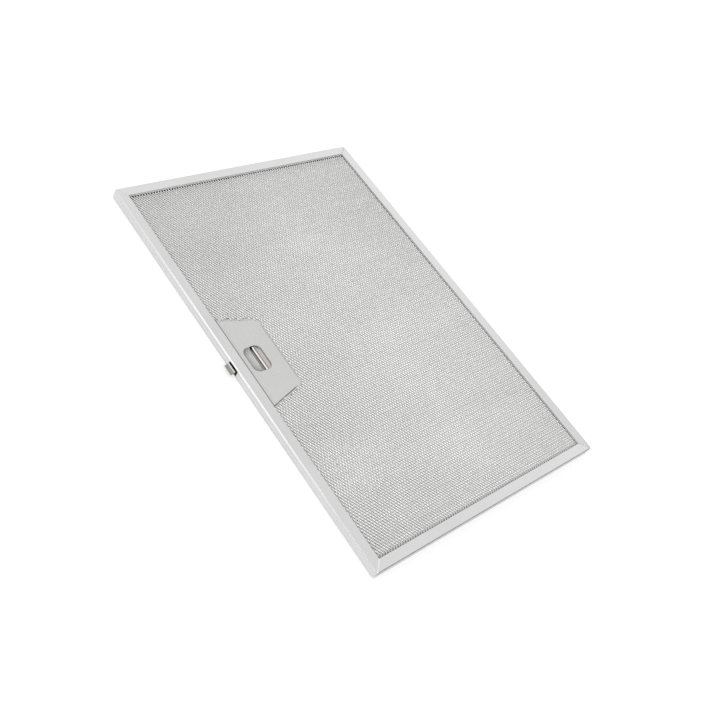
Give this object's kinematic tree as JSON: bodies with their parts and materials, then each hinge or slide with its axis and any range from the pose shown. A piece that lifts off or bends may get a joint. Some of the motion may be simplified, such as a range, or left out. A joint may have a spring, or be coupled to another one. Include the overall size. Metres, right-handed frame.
{
  "type": "cooker hood filter",
  "caption": "Flat rectangular grease filter for a cooker hood: folded aluminium frame, expanded-mesh layers, and a sprung finger latch whose tongue slides through one long side.",
  "frame": {"origin": "centre of the frame's outline on its back plane", "axes": "+X across the short side, away from the latch; +Y along the long side; +Z out of the front face"},
  "size_m": [0.2641, 0.386, 0.009],
  "materials": {
    "frame_aluminium": "satin",
    "mesh_aluminium": "bright expanded foil",
    "cover_aluminium": "matt",
    "latch_steel": "satin",
    "spring_steel": "drawn wire"
  },
  "bodies": {
    "filter": {"frame": "frame_aluminium", "front_mesh": "mesh_aluminium", "filter_layer_1": "mesh_aluminium", "filter_layer_2": "mesh_aluminium", "filter_layer_3": "mesh_aluminium", "filter_layer_4": "mesh_aluminium", "rear_mesh": "mesh_aluminium", "latch_cover": "cover_aluminium", "latch_tray": "latch_steel", "latch_spring_1": "spring_steel", "latch_spring_2": "spring_steel"},
    "latch": {"latch_slider": "latch_steel"}
  },
  "joints": [
    {"name": "latch_slide", "type": "slide", "parent": "filter", "child": "latch", "axis": [1, 0, 0], "range_m": [0, 0.004], "stiffness_N_per_m": 250, "springref_m": -0.006, "deforming": ["latch_spring_1", "latch_spring_2"]}
  ]
}
